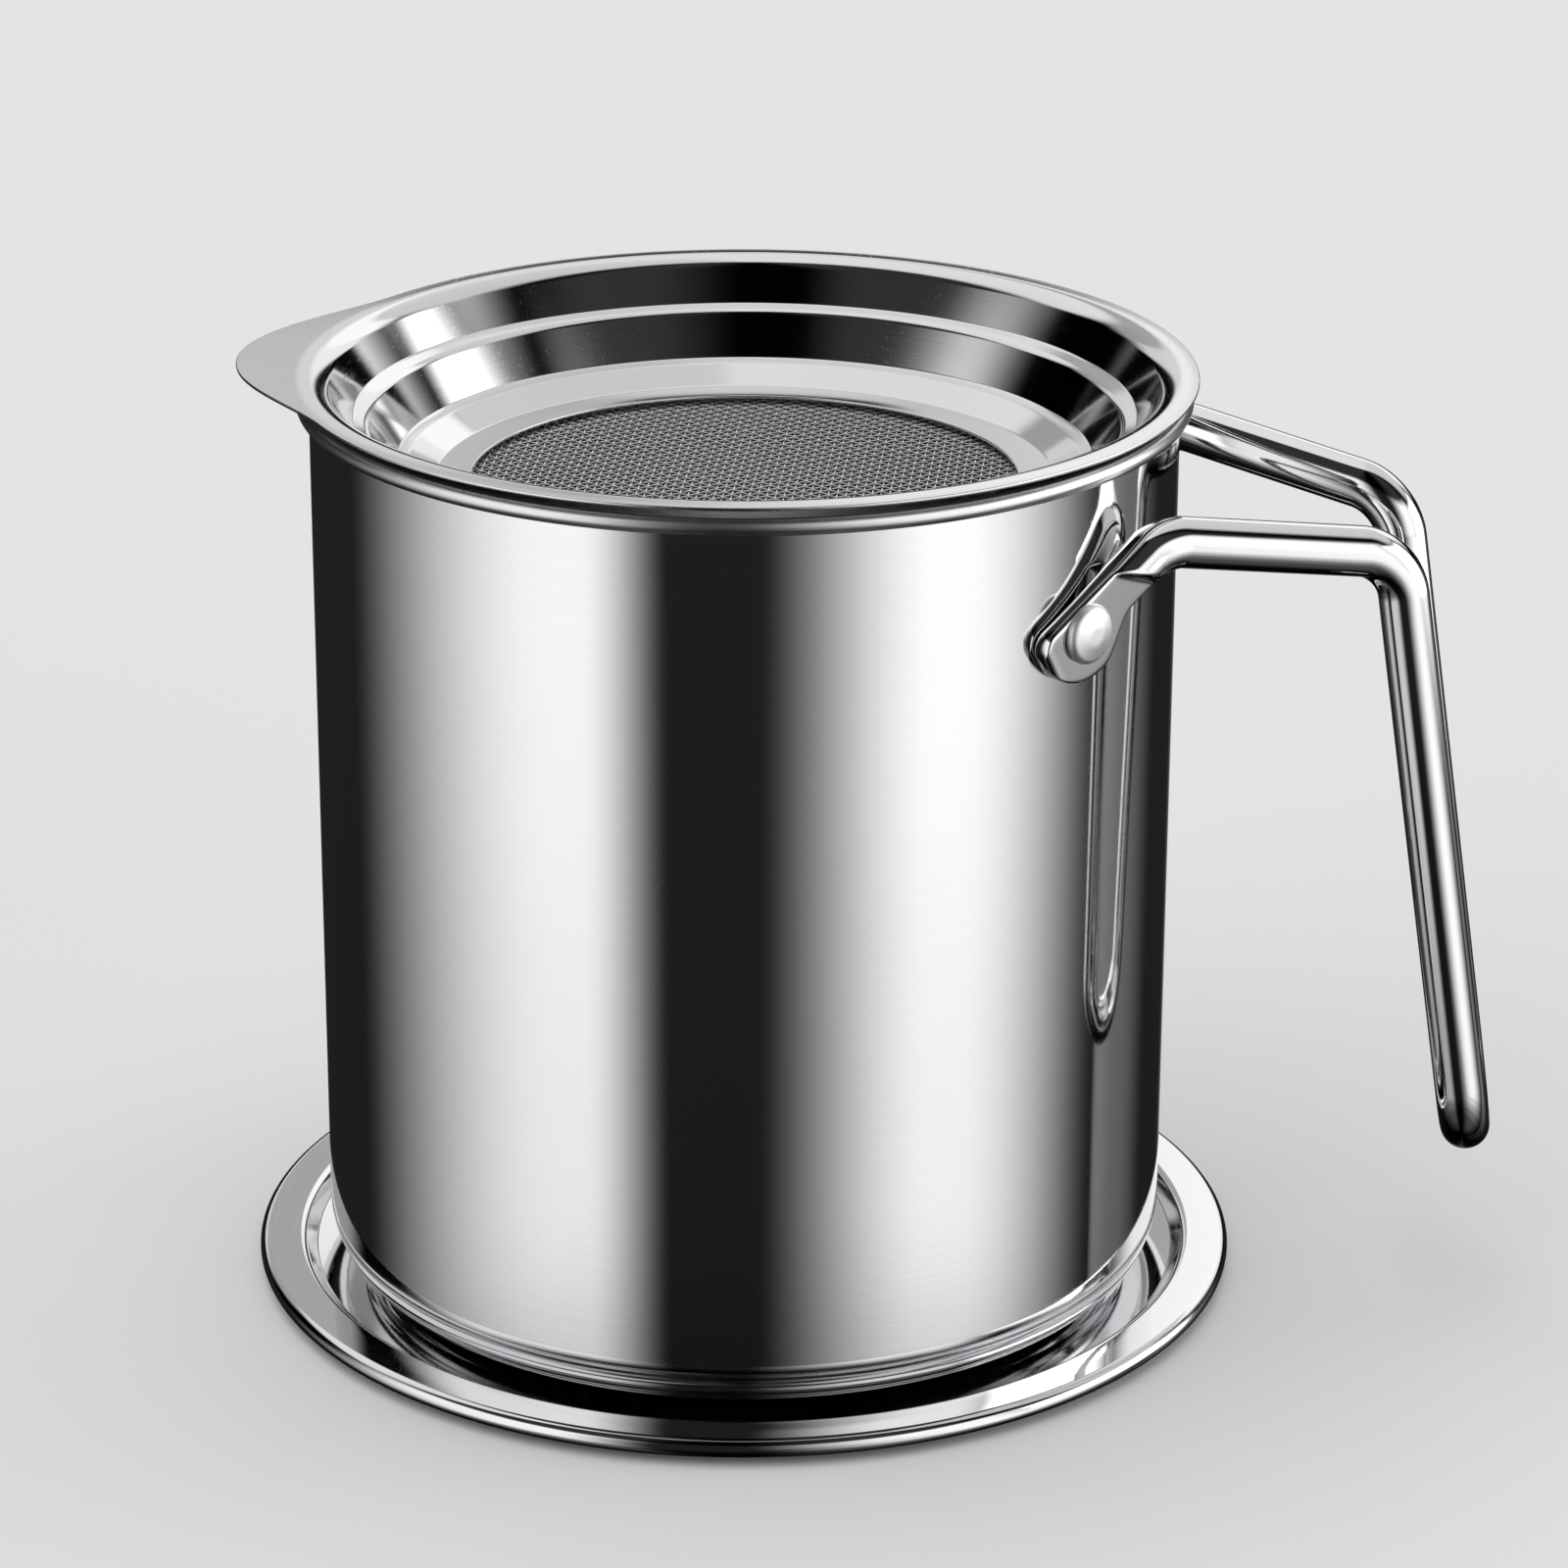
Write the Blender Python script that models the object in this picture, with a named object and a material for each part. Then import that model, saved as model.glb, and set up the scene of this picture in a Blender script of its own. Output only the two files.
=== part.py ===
"""Models a stainless steel grease pot with its drip tray, strainer and rod handle.

Metres, +Z up. The pot's axis is Z, the tray rests on Z = 0, the handle reaches
towards +X and the strainer's lifting tab towards -X.
"""

import math

import bmesh
import bpy
from mathutils import Matrix, Vector

# Sheet metal and fits
SHEET = 0.0008
HALF_SHEET = SHEET / 2
FIT_GAP = 0.0003
TURNED_SEGMENTS = 48
BEND_STEPS = 2
CURL_STEPS = 5

# Pot, which the tray, strainer, handle and rivets are sized from
POT_RADIUS = 0.0600
POT_RIM_HEIGHT = 0.1319
POT_CORNER_RADIUS = 0.0092
POT_CURL_RADIUS = 0.0011
POT_CURL_END = math.radians(-70)
POT_WALL_MIDDLE = POT_RADIUS - HALF_SHEET
POT_BASE_MIDDLE = SHEET + FIT_GAP + HALF_SHEET

# Drip tray
TRAY_FLOOR_INSET = 0.0040
TRAY_SIDE_CLEARANCE = 0.0024
TRAY_WALL_LEAN = 0.0018
TRAY_FLANGE_WIDTH = 0.0046
TRAY_FLANGE_HEIGHT = 0.0044
TRAY_SLOPE_RISE = 0.0010
TRAY_FLOOR_BEND = 0.0030
TRAY_WALL_BEND = 0.0009
TRAY_CURL_RADIUS = 0.0012
TRAY_CURL_END = math.radians(-115)
TRAY_FLOOR_RADIUS = POT_RADIUS - TRAY_FLOOR_INSET
TRAY_SLOPE_RADIUS = POT_RADIUS + TRAY_SIDE_CLEARANCE
TRAY_FLANGE_INNER_RADIUS = TRAY_SLOPE_RADIUS + TRAY_WALL_LEAN
TRAY_FLANGE_OUTER_RADIUS = TRAY_FLANGE_INNER_RADIUS + TRAY_FLANGE_WIDTH

# Strainer pan, as the widths and drops of its steps from the flange inwards
FLANGE_OVERHANG = 0.0025
STRAINER_CLEARANCE = 0.0009
STEEP_WIDTH = 0.0026
STEEP_DROP = 0.0054
LEDGE_WIDTH = 0.0025
LEDGE_DROP = 0.0006
DISH_WIDTH = 0.0044
DISH_DROP = 0.0066
STEP_WIDTH = 0.0016
STEP_DROP = 0.0004
BOTTOM_WIDTH = 0.0042
BOTTOM_DROP = 0.0024
BOTTOM_LIP = 0.0050
PAN_SHARP_BEND = 0.0008
PAN_SOFT_BEND = 0.0013
TAB_REACH = 0.0081
TAB_HALF_ANGLE = math.radians(31)
STRAINER_TOP = POT_RIM_HEIGHT + FIT_GAP + SHEET
FLANGE_RADIUS = POT_RADIUS + FLANGE_OVERHANG
MOUTH_RADIUS = POT_RADIUS - SHEET - STRAINER_CLEARANCE
BOTTOM_RADIUS = MOUTH_RADIUS - STEEP_WIDTH - LEDGE_WIDTH - DISH_WIDTH - STEP_WIDTH - BOTTOM_WIDTH
NET_OPENING_RADIUS = BOTTOM_RADIUS - BOTTOM_LIP

# Strainer net and the ring that holds it
NET_OVERLAP = 0.0028
NET_THICKNESS = 0.0006
NET_GAP = 0.0027
NET_BAR = 0.0011
RING_SETBACK = 0.0006
RING_MARGIN = 0.0010
RING_THICKNESS = 0.0008
NET_PITCH = NET_GAP + NET_BAR
NET_RADIUS = NET_OPENING_RADIUS + NET_OVERLAP
RING_INNER_RADIUS = NET_OPENING_RADIUS + RING_SETBACK
RING_OUTER_RADIUS = NET_RADIUS + RING_MARGIN

# Rivets
RIVET_ANGLE = math.radians(38.2)
RIVET_DROP = 0.0228
RIVET_SHANK_RADIUS = 0.0020
RIVET_HEAD_RADIUS = 0.0038
RIVET_HEAD_HEIGHT = 0.0020
RIVET_TAIL_RADIUS = 0.0036
RIVET_TAIL_HEIGHT = 0.0009
RIVET_SEGMENTS = 16
DOME_STEPS = 4
RIVET_HEIGHT = POT_RIM_HEIGHT - RIVET_DROP

# Handle rod
ROD_RADIUS = 0.0033
PADDLE_HALF_WIDTH = 0.0052
PADDLE_HALF_THICKNESS = 0.0013
PADDLE_TIP_REACH = 0.0084
PADDLE_SLOPE = math.radians(15)
PADDLE_RADIUS = POT_RADIUS + FIT_GAP + PADDLE_HALF_THICKNESS
ROOT_ANGLE = math.radians(29.5)
ARM_START_ANGLE = math.radians(22.5)
ARM_START_REACH = 0.0055
ARM_START_DROP = 0.0133
ARM_END_REACH = 0.0308
ARM_END_DROP = 0.0185
GRIP_HALF_SPACING = 0.0110
GRIP_FOOT_REACH = 0.0441
GRIP_FOOT_SHARE = 0.186
ROOT_BEND = 0.0100
ARM_BEND = 0.0100
GRIP_BEND = 0.0080
ROD_SIDES = 12
ROD_BEND_STEPS = 5
PADDLE_STATIONS = 4
TIP_SHARES = (0.98, 0.88, 0.68, 0.38)
FLATTENED_SQUARENESS = 0.55

# Colours and surface finish
POLISHED_STEEL = ((0.74, 0.74, 0.75, 1.0), 0.08)
PRESSED_STEEL = ((0.70, 0.70, 0.71, 1.0), 0.14)
BRUSHED_STEEL = ((0.66, 0.66, 0.67, 1.0), 0.24)
RIVET_STEEL = ((0.80, 0.80, 0.81, 1.0), 0.12)
WIRE_STEEL = ((0.60, 0.60, 0.61, 1.0), 0.30)


def clear_scene():
    for thing in list(bpy.data.objects):
        bpy.data.objects.remove(thing, do_unlink=True)


def metal(name, finish):
    colour, roughness = finish
    material = bpy.data.materials.new(name)
    material.use_nodes = True
    shader = material.node_tree.nodes["Principled BSDF"]
    shader.inputs["Base Color"].default_value = colour
    shader.inputs["Roughness"].default_value = roughness
    shader.inputs["Metallic"].default_value = 1.0
    material.diffuse_color = colour
    return material


def add_object(name, mesh_data, material):
    bmesh.ops.recalc_face_normals(mesh_data, faces=mesh_data.faces)
    mesh = bpy.data.meshes.new(name)
    mesh_data.to_mesh(mesh)
    mesh_data.free()
    mesh.materials.append(material)
    mesh.shade_smooth()
    mesh.set_sharp_from_angle(angle=math.radians(35))
    thing = bpy.data.objects.new(name, mesh)
    bpy.context.scene.collection.objects.link(thing)
    return thing


def filleted(points, radii, steps):
    """Rounds each inner corner of a path with an arc of its own radius."""
    path = [points[0]]
    for before, corner, after, radius in zip(points, points[1:], points[2:], radii):
        back = (before - corner).normalized()
        ahead = (after - corner).normalized()
        turn = math.pi - back.angle(ahead)
        reach = radius * math.tan(turn / 2)
        centre = corner + (back + ahead).normalized() * (radius / math.cos(turn / 2))
        start = corner + back * reach - centre
        across = (corner + ahead * reach - centre) - start * math.cos(turn)
        across = across.normalized() * radius
        for step in range(steps + 1):
            angle = turn * step / steps
            path.append(centre + start * math.cos(angle) + across * math.sin(angle))
    path.append(points[-1])
    return path


def curl(start, radius, end_angle):
    """Continues a sheet's midline outwards and down round a curled edge."""
    centre = start - Vector((0, radius))
    path = []
    for step in range(1, CURL_STEPS + 1):
        angle = math.pi / 2 + (end_angle - math.pi / 2) * step / CURL_STEPS
        path.append(centre + Vector((math.cos(angle), math.sin(angle))) * radius)
    return path


def sheet_outline(midline):
    """Thickens a midline of (radius, height) points into the outline of its sheet."""
    sides = ([], [])
    for index, point in enumerate(midline):
        before = midline[max(index - 1, 0)]
        after = midline[min(index + 1, len(midline) - 1)]
        into = (point - before).normalized() if index else (after - point).normalized()
        out = (after - point).normalized() if index < len(midline) - 1 else into
        along = (into + out).normalized()
        normal = Vector((-along.y, along.x))
        offset = normal * (HALF_SHEET / max(along.dot(into), HALF_SHEET))
        sides[0].append(point + offset)
        sides[1].append(point - offset)
    return sides[0] + sides[1][::-1]


def turned(name, outline, segments, material, on_axis):
    """Spins a closed outline round Z. An outline that starts and ends on the axis makes two poles."""
    solid = bmesh.new()
    rings = []
    for point in outline:
        if on_axis and point in (outline[0], outline[-1]):
            rings.append([solid.verts.new((0, 0, point.y))] * segments)
            continue
        ring = []
        for segment in range(segments):
            angle = math.tau * segment / segments
            ring.append(solid.verts.new((point.x * math.cos(angle), point.x * math.sin(angle), point.y)))
        rings.append(ring)
    pairs = list(zip(rings, rings[1:])) + ([] if on_axis else [(rings[-1], rings[0])])
    for low, high in pairs:
        for segment in range(segments):
            following = (segment + 1) % segments
            corners = (low[segment], low[following], high[following], high[segment])
            solid.faces.new(dict.fromkeys(corners))
    return add_object(name, solid, material)


def cut(thing, cutter):
    boolean = thing.modifiers.new("cut_" + cutter.name, "BOOLEAN")
    boolean.operation = "DIFFERENCE"
    boolean.solver = "EXACT"
    boolean.object = cutter
    cutter.hide_render = True
    cutter.display_type = "WIRE"


def rivet_frame(side):
    """Stands a rivet's own Z along the radius that it is driven along."""
    angle = side * RIVET_ANGLE
    outward = Vector((math.cos(angle), math.sin(angle), 0))
    turn = Vector((0, 0, 1)).rotation_difference(outward).to_matrix().to_4x4()
    return Matrix.Translation((0, 0, RIVET_HEIGHT)) @ turn


def build_tray(material):
    floor = HALF_SHEET
    corners = [
        Vector((0, floor)),
        Vector((TRAY_FLOOR_RADIUS, floor)),
        Vector((TRAY_SLOPE_RADIUS, floor + TRAY_SLOPE_RISE)),
        Vector((TRAY_FLANGE_INNER_RADIUS, TRAY_FLANGE_HEIGHT)),
        Vector((TRAY_FLANGE_OUTER_RADIUS, TRAY_FLANGE_HEIGHT)),
    ]
    bends = (TRAY_FLOOR_BEND, TRAY_WALL_BEND, TRAY_WALL_BEND)
    midline = filleted(corners, bends, BEND_STEPS)
    midline += curl(midline[-1], TRAY_CURL_RADIUS, TRAY_CURL_END)
    return turned("drip_tray", sheet_outline(midline), TURNED_SEGMENTS, material, True)


def build_pot(material):
    rim = POT_RIM_HEIGHT - HALF_SHEET
    corners = [
        Vector((0, POT_BASE_MIDDLE)),
        Vector((POT_WALL_MIDDLE, POT_BASE_MIDDLE)),
        Vector((POT_WALL_MIDDLE, rim)),
        Vector((POT_WALL_MIDDLE + POT_CURL_RADIUS, rim)),
    ]
    bends = (POT_CORNER_RADIUS - HALF_SHEET, POT_CURL_RADIUS)
    midline = filleted(corners, bends, CURL_STEPS)
    midline = midline[:-1] + curl(corners[-1], POT_CURL_RADIUS, POT_CURL_END)
    return turned("pot_body", sheet_outline(midline), TURNED_SEGMENTS, material, True)


def build_strainer_pan(material):
    radius = MOUTH_RADIUS
    level = STRAINER_TOP - HALF_SHEET
    corners = [Vector((FLANGE_RADIUS, level)), Vector((radius, level))]
    steps = (
        (STEEP_WIDTH, STEEP_DROP),
        (LEDGE_WIDTH, LEDGE_DROP),
        (DISH_WIDTH, DISH_DROP),
        (STEP_WIDTH, STEP_DROP),
        (BOTTOM_WIDTH, BOTTOM_DROP),
        (BOTTOM_LIP, 0),
    )
    for width, drop in steps:
        radius -= width
        level -= drop
        corners.append(Vector((radius, level)))
    bends = (PAN_SOFT_BEND, PAN_SHARP_BEND, PAN_SOFT_BEND, PAN_SHARP_BEND, PAN_SHARP_BEND, PAN_SOFT_BEND)
    outline = sheet_outline(filleted(corners, bends, BEND_STEPS))
    pan = turned("strainer_pan", outline, TURNED_SEGMENTS, material, False)
    edge = FLANGE_RADIUS - FIT_GAP
    for vertex in pan.data.vertices:
        flat = Vector((vertex.co.x, vertex.co.y))
        from_tab = flat.angle(Vector((-1, 0)))
        if flat.length > edge and from_tab < TAB_HALF_ANGLE:
            swell = math.cos(math.pi / 2 * from_tab / TAB_HALF_ANGLE) ** 2
            flat *= 1 + TAB_REACH * swell / FLANGE_RADIUS
            vertex.co.x = flat.x
            vertex.co.y = flat.y
    return pan, level - HALF_SHEET


def build_net(seat, material):
    top = seat - FIT_GAP
    low = top - NET_THICKNESS
    outline = [Vector((0, low)), Vector((NET_RADIUS, low)), Vector((NET_RADIUS, top)), Vector((0, top))]
    net = turned("strainer_net", outline, TURNED_SEGMENTS, material, True)
    holes = bmesh.new()
    reach = math.ceil(NET_OPENING_RADIUS / NET_PITCH)
    middle = (low + top) / 2
    for column in range(-reach, reach + 1):
        for row in range(-reach, reach + 1):
            spot = Vector((column * NET_PITCH, row * NET_PITCH, middle))
            if spot.xy.length + NET_PITCH / 2 < NET_OPENING_RADIUS:
                size = Matrix.Diagonal((NET_GAP, NET_GAP, NET_PITCH, 1))
                bmesh.ops.create_cube(holes, size=1, matrix=Matrix.Translation(spot) @ size)
    cut(net, add_object("net_holes", holes, material))
    return net, low


def build_ring(seat, material):
    top = seat - FIT_GAP
    low = top - RING_THICKNESS
    outline = [
        Vector((RING_INNER_RADIUS, low)),
        Vector((RING_OUTER_RADIUS, low)),
        Vector((RING_OUTER_RADIUS, top)),
        Vector((RING_INNER_RADIUS, top)),
    ]
    return turned("net_ring", outline, TURNED_SEGMENTS, material, False)


def paddle_point(along):
    """Gives the flattened end's midline, measured from the rivet towards the arm, on the -Y side."""
    angle = along * math.cos(PADDLE_SLOPE) / PADDLE_RADIUS - RIVET_ANGLE
    height = RIVET_HEIGHT + along * math.sin(PADDLE_SLOPE)
    return Vector((PADDLE_RADIUS * math.cos(angle), PADDLE_RADIUS * math.sin(angle), height))


def handle_stations():
    """Lists (centre, half width, half thickness, squareness) from a paddle's tip to the grip's foot."""
    root = (RIVET_ANGLE - ROOT_ANGLE) * PADDLE_RADIUS / math.cos(PADDLE_SLOPE)
    tip = -PADDLE_TIP_REACH
    flat = [(tip + PADDLE_HALF_WIDTH * (1 - share), math.sqrt(1 - share ** 2)) for share in TIP_SHARES]
    flat += [
        (tip + PADDLE_HALF_WIDTH + (root - tip - PADDLE_HALF_WIDTH) * step / PADDLE_STATIONS, 1)
        for step in range(PADDLE_STATIONS)
    ]
    stations = [
        (paddle_point(along), PADDLE_HALF_WIDTH * share, PADDLE_HALF_THICKNESS, FLATTENED_SQUARENESS)
        for along, share in flat
    ]
    start = POT_RADIUS + ARM_START_REACH
    foot = POT_RADIUS + GRIP_FOOT_REACH
    low = POT_RIM_HEIGHT * GRIP_FOOT_SHARE
    arm_start = Vector((
        start * math.cos(ARM_START_ANGLE),
        -start * math.sin(ARM_START_ANGLE),
        POT_RIM_HEIGHT - ARM_START_DROP,
    ))
    corners = [
        stations[-1][0],
        paddle_point(root),
        arm_start,
        Vector((POT_RADIUS + ARM_END_REACH, -GRIP_HALF_SPACING, POT_RIM_HEIGHT - ARM_END_DROP)),
        Vector((foot, -GRIP_HALF_SPACING, low)),
        Vector((foot, 0, low)),
    ]
    bends = (ROOT_BEND, ARM_BEND, GRIP_BEND, GRIP_HALF_SPACING)
    path = filleted(corners, bends, ROD_BEND_STEPS)[1:-1]
    flat_end = path[0]
    span = (arm_start - flat_end).length
    for centre in path:
        share = min((centre - flat_end).length / span, 1)
        share = share * share * (3 - 2 * share)
        width = PADDLE_HALF_WIDTH + (ROD_RADIUS - PADDLE_HALF_WIDTH) * share
        thickness = PADDLE_HALF_THICKNESS + (ROD_RADIUS - PADDLE_HALF_THICKNESS) * share
        squareness = FLATTENED_SQUARENESS + (1 - FLATTENED_SQUARENESS) * share
        stations.append((centre, width, thickness, squareness))
    return stations


def build_handle(material):
    stations = handle_stations()
    centres = [station[0] for station in stations]
    rod = bmesh.new()
    tangent = (centres[1] - centres[0]).normalized()
    outward = Vector((centres[0].x, centres[0].y, 0)).normalized()
    rings = []
    for index, (centre, width, thickness, squareness) in enumerate(stations):
        before = centres[max(index - 1, 0)]
        after = centres[index + 1] if index + 1 < len(centres) else None
        heading = (after - before).normalized() if after else Vector((0, 1, 0))
        outward = tangent.rotation_difference(heading) @ outward
        tangent = heading
        across = tangent.cross(outward).normalized()
        ring = []
        for side in range(ROD_SIDES):
            angle = math.tau * side / ROD_SIDES
            wide = math.copysign(abs(math.cos(angle)) ** squareness, math.cos(angle))
            thick = math.copysign(abs(math.sin(angle)) ** squareness, math.sin(angle))
            ring.append(rod.verts.new(centre + across * width * wide + outward * thickness * thick))
        rings.append(ring)
    for vertex in rings[-1]:
        vertex.co.y = 0
    for low, high in zip(rings, rings[1:]):
        for side in range(ROD_SIDES):
            following = (side + 1) % ROD_SIDES
            rod.faces.new((low[side], low[following], high[following], high[side]))
    rod.faces.new(rings[0])
    half = list(rod.verts) + list(rod.edges) + list(rod.faces)
    bmesh.ops.mirror(rod, geom=half, axis="Y")
    bmesh.ops.remove_doubles(rod, verts=rod.verts, dist=FIT_GAP / ROD_SIDES)
    return add_object("handle_rod", rod, material)


def build_rivet(name, side, material):
    """Turns a domed rivet, set through the paddle and the wall, with its own Z outwards."""
    seat = PADDLE_RADIUS + PADDLE_HALF_THICKNESS + FIT_GAP
    inner = POT_RADIUS - SHEET - FIT_GAP
    outline = [
        Vector((0, inner - RIVET_TAIL_HEIGHT)),
        Vector((RIVET_TAIL_RADIUS - HALF_SHEET, inner - RIVET_TAIL_HEIGHT)),
        Vector((RIVET_TAIL_RADIUS, inner - HALF_SHEET)),
        Vector((RIVET_TAIL_RADIUS, inner)),
        Vector((RIVET_SHANK_RADIUS, inner)),
        Vector((RIVET_SHANK_RADIUS, seat)),
        Vector((RIVET_HEAD_RADIUS, seat)),
    ]
    for step in range(1, DOME_STEPS + 1):
        angle = math.pi / 2 * step / DOME_STEPS
        radius = RIVET_HEAD_RADIUS * math.cos(angle)
        outline.append(Vector((radius, seat + RIVET_HEAD_HEIGHT * math.sin(angle))))
    outline[-1].x = 0
    rivet = turned(name, outline, RIVET_SEGMENTS, material, True)
    rivet.matrix_world = rivet_frame(side)
    return rivet


def build_rivet_hole(name, side, material):
    hole = bmesh.new()
    bmesh.ops.create_cone(
        hole,
        cap_ends=True,
        segments=RIVET_SEGMENTS,
        radius1=RIVET_SHANK_RADIUS + FIT_GAP,
        radius2=RIVET_SHANK_RADIUS + FIT_GAP,
        depth=RIVET_HEAD_RADIUS * 4,
        matrix=Matrix.Translation((0, 0, POT_RADIUS)),
    )
    cutter = add_object(name, hole, material)
    cutter.matrix_world = rivet_frame(side)
    return cutter


def build_body(name, origin, children):
    """Groups the nodes that move together under an empty on their joint's axis."""
    empty = bpy.data.objects.new(name, None)
    empty.location = origin
    bpy.context.scene.collection.objects.link(empty)
    bpy.context.view_layer.update()
    for child in children:
        child.parent = empty
        child.matrix_parent_inverse = empty.matrix_world.inverted()
    return empty


def main():
    clear_scene()
    build_tray(metal("tray_steel", PRESSED_STEEL))
    pot = build_pot(metal("pot_steel", POLISHED_STEEL))
    pan, pan_seat = build_strainer_pan(metal("strainer_steel", BRUSHED_STEEL))
    net, net_seat = build_net(pan_seat, metal("net_wire", WIRE_STEEL))
    ring = build_ring(net_seat, metal("ring_steel", PRESSED_STEEL))
    handle = build_handle(metal("handle_steel", POLISHED_STEEL))
    rivet_steel = metal("rivet_steel", RIVET_STEEL)
    rivets = []
    for label, side in (("near", -1), ("far", 1)):
        rivets.append(build_rivet("rivet_" + label, side, rivet_steel))
        hole = build_rivet_hole("rivet_hole_" + label, side, rivet_steel)
        cut(pot, hole)
        cut(handle, hole)
    build_body("pot_lift", (0, 0, SHEET), [pot, handle] + rivets)
    build_body("strainer_lift", (0, 0, STRAINER_TOP), [pan, net, ring])


main()
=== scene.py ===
"""Dresses a stainless steel grease pot, its drip tray and its strainer for a studio picture."""

import math

import bmesh
import bpy
from mathutils import Matrix, Vector


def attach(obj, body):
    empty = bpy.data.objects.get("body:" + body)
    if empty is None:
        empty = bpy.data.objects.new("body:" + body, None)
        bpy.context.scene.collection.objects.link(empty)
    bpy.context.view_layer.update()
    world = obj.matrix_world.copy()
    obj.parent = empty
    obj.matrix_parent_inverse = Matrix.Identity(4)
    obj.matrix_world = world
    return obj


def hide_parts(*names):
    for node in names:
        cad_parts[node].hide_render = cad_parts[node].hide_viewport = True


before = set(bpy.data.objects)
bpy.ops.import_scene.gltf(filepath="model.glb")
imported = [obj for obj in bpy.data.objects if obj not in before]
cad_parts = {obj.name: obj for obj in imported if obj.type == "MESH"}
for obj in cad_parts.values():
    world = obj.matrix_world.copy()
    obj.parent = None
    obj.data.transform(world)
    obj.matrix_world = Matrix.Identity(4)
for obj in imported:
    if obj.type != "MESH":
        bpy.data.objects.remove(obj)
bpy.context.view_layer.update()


# Drip tray
# A shallow tray pressed from stainless sheet, which the pot stands in. Its wall turns out into
# a flat flange, whose edge is curled under to stiffen it and to be safe to the hand.

SHEET = 0.0008
TRAY_FLOOR_MIDDLE = SHEET / 2
TRAY_FLOOR_RADIUS = 0.0560
TRAY_SLOPE_RADIUS = 0.0624
TRAY_SLOPE_HEIGHT = 0.0014
TRAY_FLANGE_START = 0.0642
TRAY_FLANGE_HEIGHT = 0.0035
TRAY_CURL_START = 0.0690
TRAY_CURL_RADIUS = 0.0010
TRAY_CURL_TURN = math.radians(205)
TRAY_BENDS = (0.0030, 0.0009, 0.0009)
TURN_STEPS = 256
BEND_STEPS = 10
CURL_STEPS = 20
MERGE_DISTANCE = 0.000001
EASED_EDGE = 0.00018
EASED_EDGE_STEPS = 3
SHARP_ANGLE = math.radians(40)
TRAY_STEEL = (0.78, 0.78, 0.79, 1.0)
# a finish is its roughness, how far haze varies that, and the depth of its polishing lines
TRAY_FINISH = (0.07, 0.04, 0.000006)
# the lines change this often across their run, and this often along it
LINES_PER_METRE = 3200
LINE_CHANGES_PER_METRE = 25
LINE_DETAIL = 3
# each set of scratches: how it is turned, and how fine it is along X, Y and Z
SCRATCH_SETS = ((0.6, (2600, 60, 2600)), (2.1, (3000, 80, 3000)))
SCRATCH_START = 0.69
SCRATCH_FULL = 0.74
SCRATCH_DETAIL = 1
SCRATCH_ROUGHNESS = 0.07
SCRATCH_DEPTH = 0.5
HAZE_SCALE = 38
HAZE_DETAIL = 4
DULLED = 0.93
RELIEF = 0.25


def rounded_line(corners, bends, steps):
    """Joins corners into an open line, and rounds each inner one to its own radius."""
    line = bmesh.new()
    verts = [line.verts.new(corner) for corner in corners]
    for pair in zip(verts, verts[1:]):
        line.edges.new(pair)
    for index, bend in enumerate(bends, 1):
        if not bend:
            continue
        turn = (corners[index] - corners[index - 1]).angle(corners[index + 1] - corners[index])
        bmesh.ops.bevel(
            line,
            geom=[verts[index]],
            offset=bend * math.tan(turn / 2),
            offset_type="OFFSET",
            segments=steps,
            profile=0.5,
            affect="VERTICES",
            material=-1,
        )
    return line


def curl_edge(line, radius, turn):
    """Carries a sheet's line on from its outermost point, round a curl and back under."""
    end = max(line.verts, key=lambda vert: vert.co.x)
    centre = end.co - Vector((0, 0, radius))
    bmesh.ops.spin(line, geom=[end], cent=centre, axis=(0, 1, 0), angle=turn, steps=CURL_STEPS)


def turn_round(line, steps):
    """Spins a line round the pot's axis, and closes the seam and the poles."""
    bmesh.ops.spin(
        line,
        geom=line.verts[:] + line.edges[:],
        cent=(0, 0, 0),
        axis=(0, 0, 1),
        angle=math.tau,
        steps=steps,
        use_merge=True,
    )
    bmesh.ops.remove_doubles(line, verts=line.verts, dist=MERGE_DISTANCE)
    bmesh.ops.recalc_face_normals(line, faces=line.faces)


def finished(name, form, material, body, node):
    """Makes an object of a mesh, which stands for its CAD node and rides on its body."""
    mesh = bpy.data.meshes.new(name)
    form.to_mesh(mesh)
    form.free()
    mesh.materials.append(material)
    mesh.shade_smooth()
    piece = bpy.data.objects.new(name, mesh)
    bpy.context.scene.collection.objects.link(piece)
    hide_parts(node)
    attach(piece, body)
    return piece


def give_thickness(piece, thickness):
    """Makes a sheet of a surface, with its cut edges eased as tumbling leaves them."""
    sheet = piece.modifiers.new("sheet", "SOLIDIFY")
    sheet.thickness = thickness
    sheet.offset = 0
    sheet.use_even_offset = True
    ease = piece.modifiers.new("eased_edges", "BEVEL")
    ease.width = EASED_EDGE
    ease.segments = EASED_EDGE_STEPS
    ease.limit_method = "ANGLE"
    ease.angle_limit = SHARP_ANGLE
    weigh = piece.modifiers.new("flat_faces_first", "WEIGHTED_NORMAL")
    weigh.keep_sharp = True
    return sheet


def maths(tree, operation, first, second=None):
    """Adds a sum to a node tree, fed by numbers or sockets, and gives its output."""
    node = tree.nodes.new("ShaderNodeMath")
    node.operation = operation
    for socket, value in zip(node.inputs, (first, second)):
        if isinstance(value, (int, float)):
            socket.default_value = value
        elif value is not None:
            tree.links.new(value, socket)
    return node.outputs[0]


def noise(tree, place, detail, scale=1.0):
    """Adds a noise pattern to a node tree, and gives its output."""
    node = tree.nodes.new("ShaderNodeTexNoise")
    node.inputs["Scale"].default_value = scale
    node.inputs["Detail"].default_value = detail
    tree.links.new(place, node.inputs["Vector"])
    return node.outputs["Fac"]


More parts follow.
